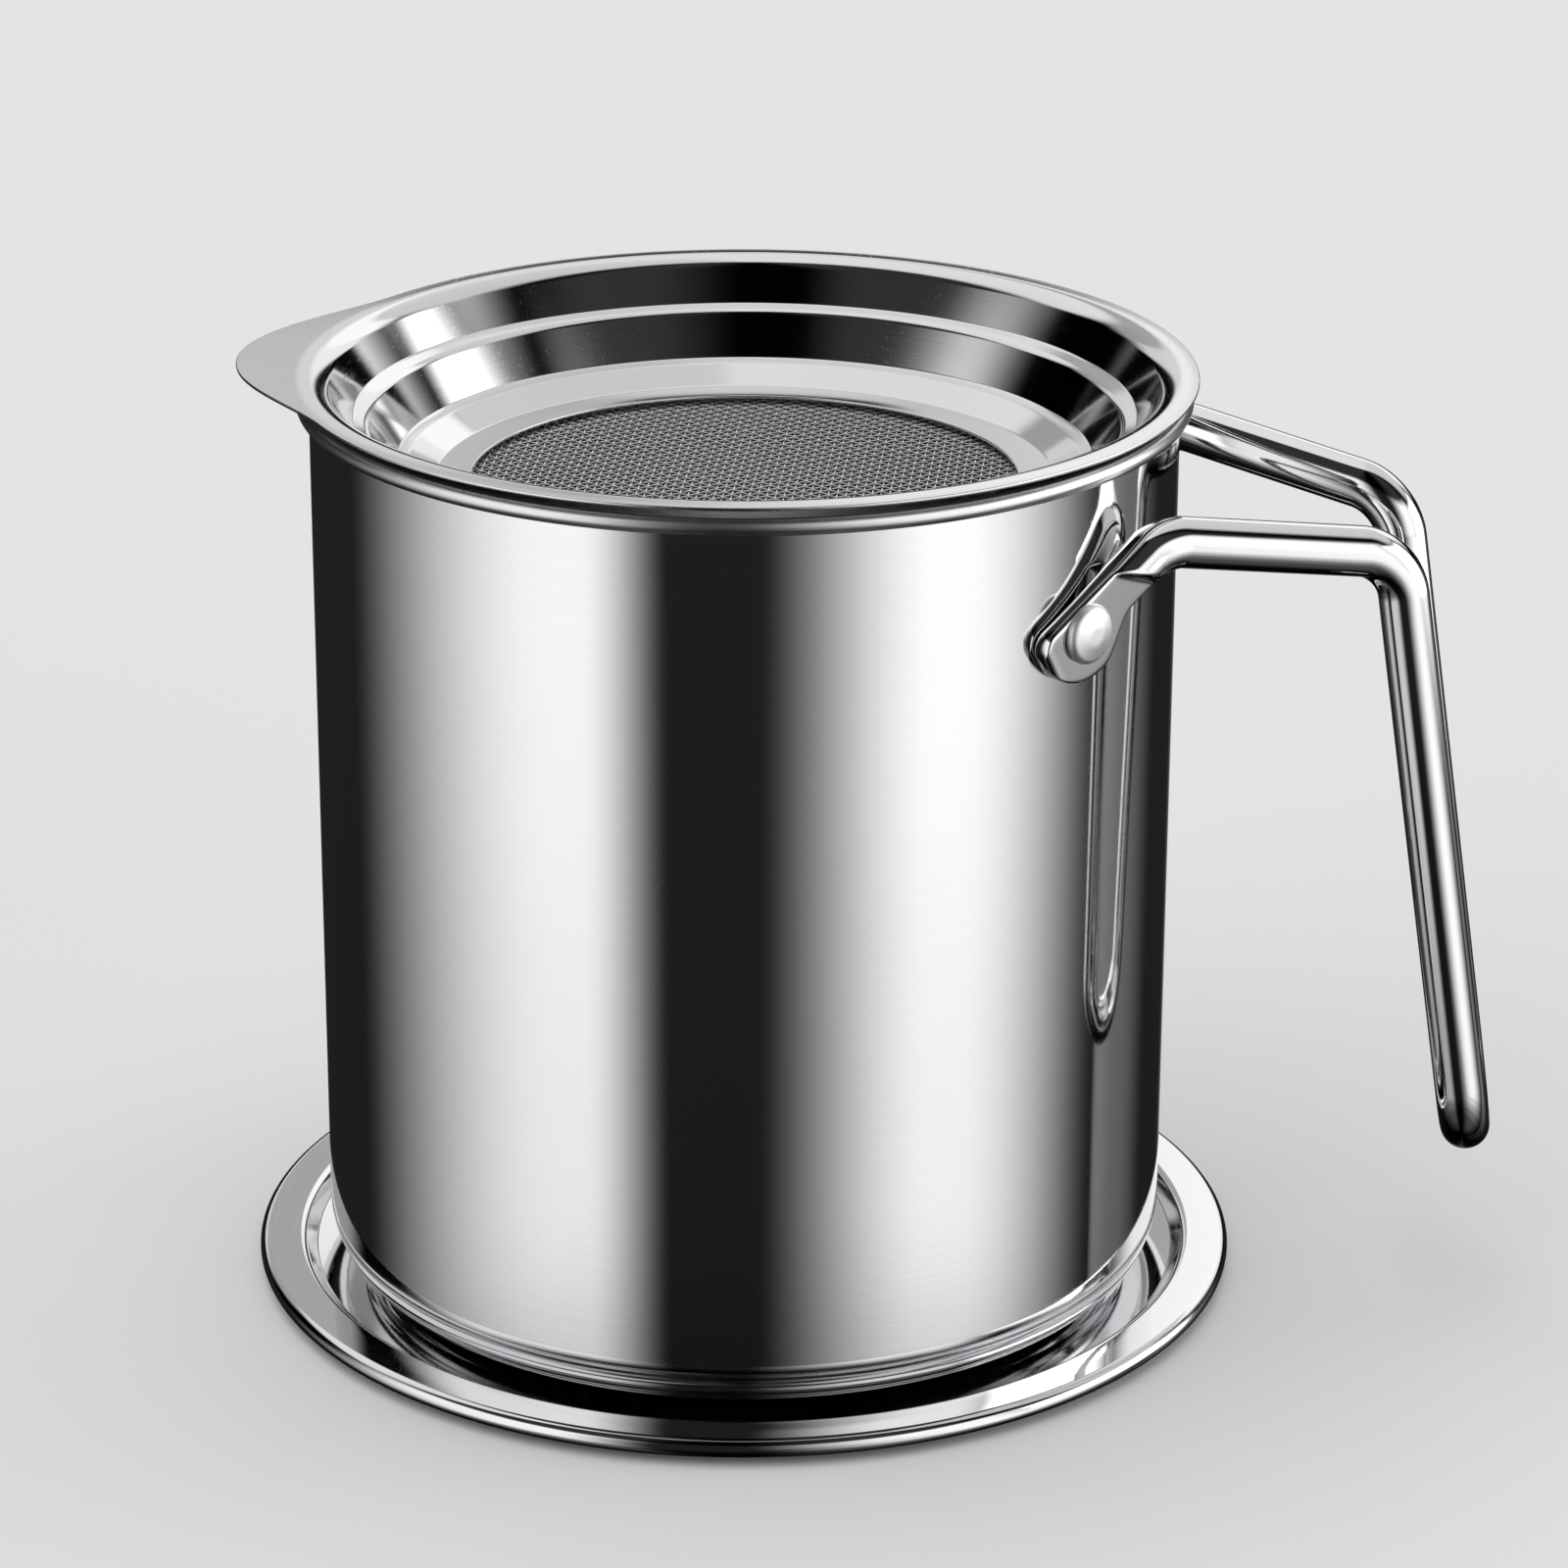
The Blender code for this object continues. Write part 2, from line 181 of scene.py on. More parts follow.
def polishing_lines(tree, place):
    """Lines round the axis, which change fast along the height and the radius only."""
    split = tree.nodes.new("ShaderNodeSeparateXYZ")
    tree.links.new(place, split.inputs[0])
    flat = tree.nodes.new("ShaderNodeVectorMath")
    flat.operation = "MULTIPLY"
    flat.inputs[1].default_value = (1, 1, 0)
    tree.links.new(place, flat.inputs[0])
    from_axis = tree.nodes.new("ShaderNodeVectorMath")
    from_axis.name = "from_axis"
    from_axis.operation = "LENGTH"
    tree.links.new(flat.outputs[0], from_axis.inputs[0])
    up_and_out = maths(tree, "ADD", from_axis.outputs["Value"], split.outputs["Z"])
    lined = tree.nodes.new("ShaderNodeCombineXYZ")
    for axis in ("X", "Y"):
        along = maths(tree, "MULTIPLY", split.outputs[axis], LINE_CHANGES_PER_METRE)
        tree.links.new(along, lined.inputs[axis])
    across = maths(tree, "MULTIPLY", up_and_out, LINES_PER_METRE)
    tree.links.new(across, lined.inputs["Z"])
    return noise(tree, lined.outputs[0], LINE_DETAIL)


def hairline_scratches(tree, place):
    """Fine scratches from use, where the stretched noise of either set peaks."""
    sets = []
    for turn, fineness in SCRATCH_SETS:
        mapping = tree.nodes.new("ShaderNodeMapping")
        mapping.inputs["Rotation"].default_value = (turn, turn / 2, turn)
        mapping.inputs["Scale"].default_value = fineness
        tree.links.new(place, mapping.inputs["Vector"])
        peaks = tree.nodes.new("ShaderNodeMapRange")
        peaks.inputs["From Min"].default_value = SCRATCH_START
        peaks.inputs["From Max"].default_value = SCRATCH_FULL
        tree.links.new(noise(tree, mapping.outputs[0], SCRATCH_DETAIL), peaks.inputs["Value"])
        sets.append(peaks.outputs[0])
    return maths(tree, "MAXIMUM", *sets)


def steel(name, colour, finish):
    """Bright steel with polishing lines, hairline scratches and a faint uneven haze."""
    roughness, haze_reach, line_depth = finish
    material = bpy.data.materials.new(name)
    material.use_nodes = True
    tree = material.node_tree
    shader = tree.nodes["Principled BSDF"]
    shader.inputs["Metallic"].default_value = 1.0
    place = tree.nodes.new("ShaderNodeTexCoord").outputs["Object"]
    lines = polishing_lines(tree, place)
    scratches = hairline_scratches(tree, place)
    haze = noise(tree, place, HAZE_DETAIL, HAZE_SCALE)

    hazed = maths(tree, "MULTIPLY", haze, haze_reach)
    worn = maths(tree, "ADD", hazed, maths(tree, "MULTIPLY", scratches, SCRATCH_ROUGHNESS))
    total = maths(tree, "ADD", worn, roughness - haze_reach / 2)
    tree.links.new(total, shader.inputs["Roughness"])

    tint = tree.nodes.new("ShaderNodeMix")
    tint.data_type = "RGBA"
    tint.inputs["A"].default_value = colour
    tint.inputs["B"].default_value = tuple(part * DULLED for part in colour[:3]) + (1.0,)
    tree.links.new(maths(tree, "MULTIPLY", lines, haze), tint.inputs["Factor"])
    tree.links.new(tint.outputs["Result"], shader.inputs["Base Color"])

    relief = tree.nodes.new("ShaderNodeBump")
    relief.inputs["Strength"].default_value = RELIEF
    relief.inputs["Distance"].default_value = line_depth
    cut = maths(tree, "MULTIPLY", scratches, SCRATCH_DEPTH)
    tree.links.new(maths(tree, "SUBTRACT", lines, cut), relief.inputs["Height"])
    tree.links.new(relief.outputs["Normal"], shader.inputs["Normal"])
    return material


tray_line = rounded_line(
    [
        Vector((0, 0, TRAY_FLOOR_MIDDLE)),
        Vector((TRAY_FLOOR_RADIUS, 0, TRAY_FLOOR_MIDDLE)),
        Vector((TRAY_SLOPE_RADIUS, 0, TRAY_SLOPE_HEIGHT)),
        Vector((TRAY_FLANGE_START, 0, TRAY_FLANGE_HEIGHT)),
        Vector((TRAY_CURL_START, 0, TRAY_FLANGE_HEIGHT)),
    ],
    TRAY_BENDS,
    BEND_STEPS,
)
curl_edge(tray_line, TRAY_CURL_RADIUS, TRAY_CURL_TURN)
turn_round(tray_line, TURN_STEPS)
tray_steel = steel("bright_tray_steel", TRAY_STEEL, TRAY_FINISH)
tray = finished("tray_dish", tray_line, tray_steel, "tray", "drip_tray")
give_thickness(tray, SHEET)


# Pot body
# A straight pot deep-drawn from one stainless blank, with a rounded foot and a mouth that is
# rolled outwards into a small bead. It is polished to a mirror outside and brushed inside.

POT_WALL_MIDDLE = 0.0596
POT_BASE_MIDDLE = 0.0015
POT_CORNER_RADIUS = 0.0088
POT_RIM_MIDDLE = 0.1306
POT_CURL_RADIUS = 0.0009
POT_CURL_TURN = math.radians(160)
# a hair under the curl's radius, so that the bend leaves the line its last leg
POT_MOUTH_BEND = 0.0008991
POT_STEEL = (0.80, 0.80, 0.81, 1.0)
POT_OUTSIDE_FINISH = (0.05, 0.03, 0.000004)
POT_INSIDE_FINISH = (0.30, 0.06, 0.000008)

pot_line = rounded_line(
    [
        Vector((0, 0, POT_BASE_MIDDLE)),
        Vector((POT_WALL_MIDDLE, 0, POT_BASE_MIDDLE)),
        Vector((POT_WALL_MIDDLE, 0, POT_RIM_MIDDLE)),
        Vector((POT_WALL_MIDDLE + POT_CURL_RADIUS, 0, POT_RIM_MIDDLE)),
    ],
    (POT_CORNER_RADIUS, POT_MOUTH_BEND),
    CURL_STEPS,
)
curl_edge(pot_line, POT_CURL_RADIUS, POT_CURL_TURN)
turn_round(pot_line, TURN_STEPS)
inside_steel = steel("brushed_inside_steel", POT_STEEL, POT_INSIDE_FINISH)
outside_steel = steel("mirror_pot_steel", POT_STEEL, POT_OUTSIDE_FINISH)
pot = finished("pot_shell", pot_line, inside_steel, "pot", "pot_body")
pot_sheet = give_thickness(pot, SHEET)
# the first material lies on the inner face of the sheet, and the one after it on the outer face
pot.data.materials.append(outside_steel)
pot_sheet.material_offset = 1


# Handle
# One round stainless rod, bent into a long loop that hangs beside the pot. Each end is pressed
# flat, which spreads it into a lobe under the rod's own line, and a rivet goes through it.

ROD_RADIUS = 0.0035
ROD_SIDES = 64
ROD_BEND_STEPS = 14
ROD_STEP = 0.0004
PADDLE_RADIUS = 0.0616
PADDLE_HALF_THICKNESS = 0.0013
PADDLE_EDGE_SHARPNESS = 7
PADDLE_LIFT = 0.0008
TIP_REACH = 0.0079
TIP_STEPS = 12
# the first ring stands this share of a step off the very tip
TIP_FIRST_STEP = 0.35
TIP_TOP_ROUNDING = 0.0030
TIP_EDGE_ROUNDING = 0.0010
LOBE_HALF_WIDTH = 0.0077
LOBE_ROUNDING = 0.0076
LOBE_END_REACH = 0.0078
PRESS_END_REACH = 0.0098
PRESS_END_SLANT = 0.85
PRESS_END_LENGTH = 0.0025
RIVET_ANGLE = math.radians(38.2)
RIVET_HEIGHT = 0.1094
ARM_START = Vector((0.0585, -0.0272, 0.1187))
ARM_END = Vector((0.0903, -0.0128, 0.1134))
GRIP_FOOT = Vector((0.1036, -0.0100, 0.0247))
GRIP_MIDDLE = Vector((0.1036, 0, 0.0247))
HANDLE_BENDS = (0.0078, 0.0080, 0.0099)
HANDLE_STEEL = (0.80, 0.80, 0.81, 1.0)
HANDLE_FINISH = (0.06, 0.03, 0.000003)


def points_in_order(line, start):
    """Walks an open line from its first corner, and gives its points."""
    vert = min(line.verts, key=lambda each: (each.co - start).length)
    points = []
    seen = set()
    while vert:
        seen.add(vert)
        points.append(vert.co.copy())
        onward = [edge.other_vert(vert) for edge in vert.link_edges]
        vert = next((each for each in onward if each not in seen), None)
    return points


def round_off(reach, radius):
    """How wide a rounded end has grown at this reach from its tip, from 0 to 1."""
    return math.sqrt(1 - (1 - min(reach / radius, 1)) ** 2)


def eased(share):
    """A smooth step from 0 to 1."""
    share = min(max(share, 0), 1)
    return share * share * (3 - 2 * share)


def grow_ring(form, edges):
    """Extrudes a ring of edges where it lies, and gives the new ring's corners and edges."""
    grown = bmesh.ops.extrude_edge_only(form, edges=edges)["geom"]
    corners = [part for part in grown if isinstance(part, bmesh.types.BMVert)]
    within = set(corners)
    sides = [
        part
        for part in grown
        if isinstance(part, bmesh.types.BMEdge) and within.issuperset(part.verts)
    ]
    return corners, sides


wall_normal = Vector((math.cos(RIVET_ANGLE), -math.sin(RIVET_ANGLE), 0))
paddle_middle = wall_normal * PADDLE_RADIUS + Vector((0, 0, RIVET_HEIGHT + PADDLE_LIFT))
paddle_way = (ARM_START - paddle_middle).normalized()
tip = paddle_middle - paddle_way * TIP_REACH
rod_line = rounded_line(
    [tip, ARM_START, ARM_END, GRIP_FOOT, GRIP_MIDDLE], HANDLE_BENDS, ROD_BEND_STEPS
)
rod_points = points_in_order(rod_line, tip)[1:]
rod_line.free()

# rings crowd at the tip, where the lobe is round, and then follow the rod at an even step
reaches = [
    LOBE_ROUNDING * (1 - math.cos(math.pi / 2 * (step + TIP_FIRST_STEP) / TIP_STEPS))
    for step in range(TIP_STEPS)
]
while reaches[-1] < (rod_points[0] - tip).length - ROD_STEP:
    reaches.append(reaches[-1] + ROD_STEP)
centres = [tip + paddle_way * reach for reach in reaches] + rod_points

# the near half of the loop is swept, wide at the lobe, up to the middle of the grip's foot
rod = bmesh.new()
ring = bmesh.ops.create_circle(rod, segments=ROD_SIDES, radius=1)["verts"]
edges = rod.edges[:]
tangent = paddle_way
outward = wall_normal
placed = Matrix.Identity(4)
rings = []
reach = -TIP_REACH
for index, centre in enumerate(centres):
    reach += (centre - (centres[index - 1] if index else tip)).length
    # the last ring lies in the loop's middle plane, where the halves meet
    heading = Vector((0, 1, 0))
    if index < len(centres) - 1:
        heading = (centres[index + 1] - centres[max(index - 1, 0)]).normalized()
    outward = tangent.rotation_difference(heading) @ outward
    tangent = heading
    downward = tangent.cross(outward).normalized()
    above = ROD_RADIUS * round_off(reach + TIP_REACH, TIP_TOP_ROUNDING)
    lobe = LOBE_HALF_WIDTH + (ROD_RADIUS - LOBE_HALF_WIDTH) * eased(reach / LOBE_END_REACH)
    below = lobe * round_off(reach + TIP_REACH, LOBE_ROUNDING)
    half_width = (above + below) / 2
    spot = Matrix((downward * half_width, outward * ROD_RADIUS, tangent)).transposed().to_4x4()
    spot.translation = centre + downward * (below - above) / 2
    if index:
        ring, edges = grow_ring(rod, edges)
    bmesh.ops.transform(rod, matrix=spot @ placed.inverted(), verts=ring)
    placed = spot
    rings.append((ring, spot, centre, downward, reach))
bmesh.ops.contextual_create(rod, geom=rings[0][0])

# the press flattens the end as far as a slanted line, past which the rod is round again
for ring, spot, centre, downward, reach in rings:
    for vert in ring:
        press_end = PRESS_END_REACH + PRESS_END_SLANT * (vert.co - centre).dot(downward)
        round_share = eased((reach - press_end) / PRESS_END_LENGTH)
        flat = PADDLE_HALF_THICKNESS + (2 * ROD_RADIUS - PADDLE_HALF_THICKNESS) * round_share
        flat *= round_off(reach + TIP_REACH, TIP_EDGE_ROUNDING)
        local = spot.inverted() @ vert.co
        pressed = abs(local.y) * ROD_RADIUS / flat
        local.y /= (1 + pressed**PADDLE_EDGE_SHARPNESS) ** (1 / PADDLE_EDGE_SHARPNESS)
        vert.co = spot @ local
for vert in rings[-1][0]:
    vert.co.y = 0
near_half = rod.verts[:] + rod.edges[:] + rod.faces[:]
bmesh.ops.mirror(rod, geom=near_half, axis="Y", merge_dist=MERGE_DISTANCE)
bmesh.ops.remove_doubles(rod, verts=rod.verts, dist=MERGE_DISTANCE)
bmesh.ops.recalc_face_normals(rod, faces=rod.faces)
handle_steel = steel("mirror_handle_steel", HANDLE_STEEL, HANDLE_FINISH)
finished("handle_loop", rod, handle_steel, "pot", "handle_rod")


# Rivets
# Two stainless rivets hold the handle. Each has a low domed head outside, and its shank goes
# through the paddle and the wall to a flat tail that is set inside the pot.

RIVET_TURN_STEPS = 64
RIVET_HEAD_SEAT = 0.0628
RIVET_HEAD_RADIUS = 0.0041
RIVET_HEAD_SIDE = 0.0011
RIVET_HEAD_TOP = 0.0017
RIVET_HEAD_FLAT = 0.0014
RIVET_HEAD_BENDS = (0.0010, 0.0040)
RIVET_SHANK_RADIUS = 0.0020
RIVET_TAIL_SEAT = 0.0589
RIVET_TAIL_END = 0.0580
RIVET_TAIL_RADIUS = 0.0036
RIVET_TAIL_ROUNDING = 0.0004
# the rivets' steel is painted lighter than the rest of the steel: it is steel's colour with a
# painted highlight in it, for the light that the domed heads catch
RIVET_STEEL_PAINTED_HIGHLIGHT = (0.92, 0.92, 0.93, 1.0)
RIVET_FINISH = (0.50, 0.05, 0.000004)

# one material for both rivets, its colour lifted as a painted highlight
painted_highlight_rivet_steel = steel("rivet_steel_painted_highlight", RIVET_STEEL_PAINTED_HIGHLIGHT, RIVET_FINISH)
for name, side in (("rivet_near", -1), ("rivet_far", 1)):
    rivet_line = rounded_line(
        [
            Vector((0, 0, RIVET_TAIL_END)),
            Vector((RIVET_TAIL_RADIUS, 0, RIVET_TAIL_END)),
            Vector((RIVET_TAIL_RADIUS, 0, RIVET_TAIL_SEAT)),
            Vector((RIVET_SHANK_RADIUS, 0, RIVET_TAIL_SEAT)),
            Vector((RIVET_SHANK_RADIUS, 0, RIVET_HEAD_SEAT)),
            Vector((RIVET_HEAD_RADIUS, 0, RIVET_HEAD_SEAT)),
            Vector((RIVET_HEAD_RADIUS, 0, RIVET_HEAD_SEAT + RIVET_HEAD_SIDE)),
            Vector((RIVET_HEAD_FLAT, 0, RIVET_HEAD_SEAT + RIVET_HEAD_TOP)),
            Vector((0, 0, RIVET_HEAD_SEAT + RIVET_HEAD_TOP)),
        ],
        (RIVET_TAIL_ROUNDING, 0, 0, 0, 0) + RIVET_HEAD_BENDS,
        BEND_STEPS,
    )
    turn_round(rivet_line, RIVET_TURN_STEPS)
    outward = Vector((math.cos(side * RIVET_ANGLE), math.sin(side * RIVET_ANGLE), 0))
    lean = Vector((0, 0, 1)).rotation_difference(outward).to_matrix().to_4x4()
    seat = Matrix.Translation((0, 0, RIVET_HEIGHT)) @ lean
    bmesh.ops.transform(rivet_line, matrix=seat, verts=rivet_line.verts)
    rivet = finished("set_" + name, rivet_line, painted_highlight_rivet_steel, "pot", name)
    rivet.data.set_sharp_from_angle(angle=SHARP_ANGLE)


# Strainer pan
# A stepped pan pressed from thinner stainless sheet, which hangs in the pot's mouth by its
# flange. The flange swells into a lifting tab, left satin, on the side away from the handle.

PAN_TURN_STEPS = 288
PAN_SHEET = 0.0005
PAN_FLANGE_RADIUS = 0.0625
# radius and height of each corner, from the flange inwards to the lip round the net
PAN_PROFILE = (
    (PAN_FLANGE_RADIUS, 0.13252),
    (0.0584, 0.13274),
    (0.0543, 0.1266),
    (0.0522, 0.1260),
    (0.0484, 0.1200),
    (0.0468, 0.1196),
    (0.0430, 0.1172),
    (0.0380, 0.1172),
)
PAN_BENDS = (0.0034, 0.0008, 0.0013, 0.0008, 0.0008, 0.0013)
TAB_REACH = 0.0081
TAB_HALF_ANGLE = math.radians(31)
PAN_STEEL = (0.78, 0.78, 0.79, 1.0)
PAN_FINISH = (0.08, 0.05, 0.000006)
SATIN_RADIUS = 0.0608
SATIN_FADE = 0.0014
SATIN_ROUGHNESS = 0.16


def leave_satin(material, radius):
    """Leaves the mill's satin finish on all of a steel piece beyond this radius."""
    tree = material.node_tree
    roughness = tree.nodes["Principled BSDF"].inputs["Roughness"]
    polished = roughness.links[0].from_socket
    satin = tree.nodes.new("ShaderNodeMapRange")
    satin.interpolation_type = "SMOOTHSTEP"
    satin.inputs["From Min"].default_value = radius
    satin.inputs["From Max"].default_value = radius + SATIN_FADE
    satin.inputs["To Max"].default_value = SATIN_ROUGHNESS
    tree.links.new(tree.nodes["from_axis"].outputs["Value"], satin.inputs["Value"])
    tree.links.new(maths(tree, "ADD", polished, satin.outputs[0]), roughness)


pan_line = rounded_line(
    [Vector((radius, 0, height)) for radius, height in PAN_PROFILE], PAN_BENDS, BEND_STEPS
)
turn_round(pan_line, PAN_TURN_STEPS)
for vert in pan_line.verts:
    spoke = vert.co.xy
    from_tab = spoke.angle(Vector((-1, 0)))
    if spoke.length > PAN_FLANGE_RADIUS - EASED_EDGE and from_tab < TAB_HALF_ANGLE:
        swell = math.cos(math.pi / 2 * from_tab / TAB_HALF_ANGLE) ** 2
        vert.co.xy = spoke * (1 + TAB_REACH * swell / PAN_FLANGE_RADIUS)
pan_steel = steel("polished_pan_steel", PAN_STEEL, PAN_FINISH)
leave_satin(pan_steel, SATIN_RADIUS)
pan = finished("strainer_dish", pan_line, pan_steel, "strainer", "strainer_pan")
give_thickness(pan, PAN_SHEET)


# Strainer net
# A disc of plain-woven stainless wire cloth. Its edge is gripped between the lip of the pan
# and the ring below.

NET_RADIUS = 0.0408
NET_MIDDLE = 0.1162
WIRE_RADIUS = 0.00015
WIRE_SIDES = 4
WIRE_PITCH = 0.0012
WIRE_STEEL = (0.86, 0.86, 0.87, 1.0)
WIRE_FINISH = (0.28, 0.08, 0.000004)

# the middle wire runs along X, and waves over one crossing wire and under the next
rows = math.ceil(NET_RADIUS / WIRE_PITCH)
steps_a_pitch = 2
net = bmesh.new()
upright = Matrix.Rotation(math.pi / 2, 4, "Y")
bmesh.ops.create_circle(net, segments=WIRE_SIDES, radius=WIRE_RADIUS, matrix=upright)
bmesh.ops.translate(net, vec=(-rows * WIRE_PITCH, 0, 0), verts=net.verts)
edges = net.edges[:]
for step in range(2 * rows * steps_a_pitch):
    ring, edges = grow_ring(net, edges)
    bmesh.ops.translate(net, vec=(WIRE_PITCH / steps_a_pitch, 0, 0), verts=ring)
for vert in net.verts:
    vert.co.z += WIRE_RADIUS * math.cos(math.pi * vert.co.x / WIRE_PITCH)

# its neighbours wave the other way in turn, and a second layer crosses the first
wire = net.verts[:] + net.edges[:] + net.faces[:]
for row in range(1, rows + 1):
    for side in (-1, 1):
        copy = bmesh.ops.duplicate(net, geom=wire)["geom"]
        verts = [part for part in copy if isinstance(part, bmesh.types.BMVert)]
        bmesh.ops.scale(net, vec=(1, 1, -1 if row % 2 else 1), verts=verts)
        bmesh.ops.translate(net, vec=(0, side * row * WIRE_PITCH, 0), verts=verts)
copy = bmesh.ops.duplicate(net, geom=net.verts[:] + net.edges[:] + net.faces[:])["geom"]
verts = [part for part in copy if isinstance(part, bmesh.types.BMVert)]
bmesh.ops.rotate(net, cent=(0, 0, 0), matrix=Matrix.Rotation(math.pi / 2, 3, "Z"), verts=verts)
bmesh.ops.scale(net, vec=(1, 1, -1), verts=verts)
outside = [vert for vert in net.verts if vert.co.xy.length > NET_RADIUS - WIRE_RADIUS]
bmesh.ops.delete(net, geom=outside, context="VERTS")
cut_ends = [edge for edge in net.edges if edge.is_boundary]
bmesh.ops.holes_fill(net, edges=cut_ends, sides=WIRE_SIDES)
bmesh.ops.translate(net, vec=(0, 0, NET_MIDDLE), verts=net.verts)
bmesh.ops.recalc_face_normals(net, faces=net.faces)
wire_steel = steel("woven_wire_steel", WIRE_STEEL, WIRE_FINISH)
finished("wire_cloth", net, wire_steel, "strainer", "strainer_net")


# Net ring
# A narrow flat ring cut from stainless sheet. It is spot welded under the pan's lip, and holds
# the edge of the wire cloth against it.

RING_INNER_RADIUS = 0.0386
RING_OUTER_RADIUS = 0.0418
RING_MIDDLE = 0.1152
RING_STEEL = (0.74, 0.74, 0.75, 1.0)
RING_FINISH = (0.16, 0.05, 0.000006)

ring_edges = [Vector((radius, 0, RING_MIDDLE)) for radius in (RING_INNER_RADIUS, RING_OUTER_RADIUS)]
ring_line = rounded_line(ring_edges, (), BEND_STEPS)
turn_round(ring_line, TURN_STEPS)
ring_steel = steel("satin_ring_steel", RING_STEEL, RING_FINISH)
net_ring = finished("holding_ring", ring_line, ring_steel, "strainer", "net_ring")
give_thickness(net_ring, SHEET)


# Studio
# A pale floor, and a tent of soft light with dark gaps between its panels, which draw the
# dark bands down polished steel. The floor isn't mirrored in the steel.

FLOOR_RADIUS = 40.0
FLOOR_SIDES = 96
FLOOR_COLOUR = (0.86, 0.86, 0.87, 1.0)
FLOOR_ROUGHNESS = 0.9
BACKDROP_COLOUR = (0.773, 0.774, 0.782, 1.0)
TENT_COLOUR = (0.8, 0.8, 0.8, 1.0)
LAMP_STRENGTH = 1.2
LAMP_SPREAD = math.radians(70)
LAMP_FROM = Vector((-0.5, -0.4, 1.6))

# a light is drawn by its levels round the pot, in degrees from the front towards the handle,
# times its levels upwards, in degrees above the horizon
ROUND = 180
UPWARD = 90
FRONT_PANELS = (
    (-180, 0.50), (-174, 0.10), (-168, 0.02),
    (-122, 0.02), (-44, 1.46), (-38, 1.46), (-14, 0.02),
    (9, 0.02), (58, 1.58), (64, 1.58), (116, 0.02),
    (117, 0.30), (128, 0.20), (148, 0.02),
    (168, 0.02), (174, 0.10), (180, 0.50),
)
FRONT_PANEL_HEIGHTS = (
    (-90, 0.0), (-58, 0.06), (-45, 0.15), (-36, 0.38), (-30, 0.62), (-27, 0.60),
    (-25.5, 0.87), (-19, 1.0), (-5, 1.0), (8, 0.0), (90, 0.0),
)
UPPER_PANELS = (
    (-180, 0.0), (-105, 0.0), (-70, 1.40), (-38, 1.46), (-14, 0.02),
    (6, 0.02), (46, 1.58), (62, 1.58), (86, 0.0), (180, 0.0),
)
UPPER_PANEL_HEIGHTS = ((-90, 0.0), (-12, 0.0), (0, 1.0), (31, 1.0), (43, 0.03), (90, 0.03))
SIDE_WINDOW = ((-180, 0.0), (66, 0.0), (80, 3.3), (118, 3.3), (130, 0.0), (180, 0.0))
SIDE_WINDOW_HEIGHTS = ((-90, 0.0), (-15, 0.0), (-7, 1.0), (24, 1.0), (34, 0.0), (90, 0.0))
LOW_DOME = (
    (-180, 1.30), (-177, 1.20), (-172, 1.00), (-150, 0.95), (-128, 0.0),
    (128, 0.0), (150, 1.30), (180, 1.30),
)
LOW_DOME_HEIGHTS = ((-90, 0.0), (10.5, 0.0), (13.5, 1.0), (21, 1.0), (24, 0.0), (90, 0.0))
MIDDLE_DOME = (
    (-180, 1.50), (-177, 1.25), (-171, 0.57), (-140, 0.50), (-124, 0.0),
    (124, 0.0), (145, 1.55), (180, 1.50),
)
MIDDLE_DOME_HEIGHTS = ((-90, 0.0), (19, 0.0), (22, 1.0), (32, 1.0), (37, 0.0), (90, 0.0))
HIGH_DOME = (
    (-180, 1.15), (-150, 1.15), (-110, 1.10), (-86, 0.0),
    (86, 0.0), (110, 0.90), (160, 0.95), (180, 1.15),
)
HIGH_DOME_HEIGHTS = ((-90, 0.0), (28, 0.0), (36, 1.0), (90, 1.0))
TENT_LIGHTS = (
    (FRONT_PANELS, FRONT_PANEL_HEIGHTS),
    (UPPER_PANELS, UPPER_PANEL_HEIGHTS),
    (SIDE_WINDOW, SIDE_WINDOW_HEIGHTS),
    (LOW_DOME, LOW_DOME_HEIGHTS),
    (MIDDLE_DOME, MIDDLE_DOME_HEIGHTS),
    (HIGH_DOME, HIGH_DOME_HEIGHTS),
)

floor_form = bmesh.new()
bmesh.ops.create_circle(floor_form, cap_ends=True, segments=FLOOR_SIDES, radius=FLOOR_RADIUS)
floor_mesh = bpy.data.meshes.new("floor")
floor_form.to_mesh(floor_mesh)
floor_form.free()
floor = bpy.data.objects.new("floor", floor_mesh)
bpy.context.scene.collection.objects.link(floor)
floor.visible_glossy = False
floor_paint = bpy.data.materials.new("floor_paint")
floor_paint.use_nodes = True
floor_shader = floor_paint.node_tree.nodes["Principled BSDF"]
floor_shader.inputs["Base Color"].default_value = FLOOR_COLOUR
floor_shader.inputs["Roughness"].default_value = FLOOR_ROUGHNESS
floor_shader.inputs["Specular IOR Level"].default_value = 0.0
floor_mesh.materials.append(floor_paint)

world = bpy.data.worlds.new("studio")
bpy.context.scene.world = world
world.use_nodes = True
sky = world.node_tree
sky.nodes.clear()


def light_levels(share, stops, reach):
    """A smooth curve through light levels, over degrees from -reach to reach."""
    ramp = sky.nodes.new("ShaderNodeValToRGB")
    ramp.color_ramp.interpolation = "EASE"
    for degrees, level in stops[1:-1]:
        ramp.color_ramp.elements.new((degrees + reach) / (2 * reach))
    for element, (degrees, level) in zip(ramp.color_ramp.elements, stops):
        element.color = (level, level, level, 1)
    sky.links.new(share, ramp.inputs["Fac"])
    return ramp.outputs["Color"]


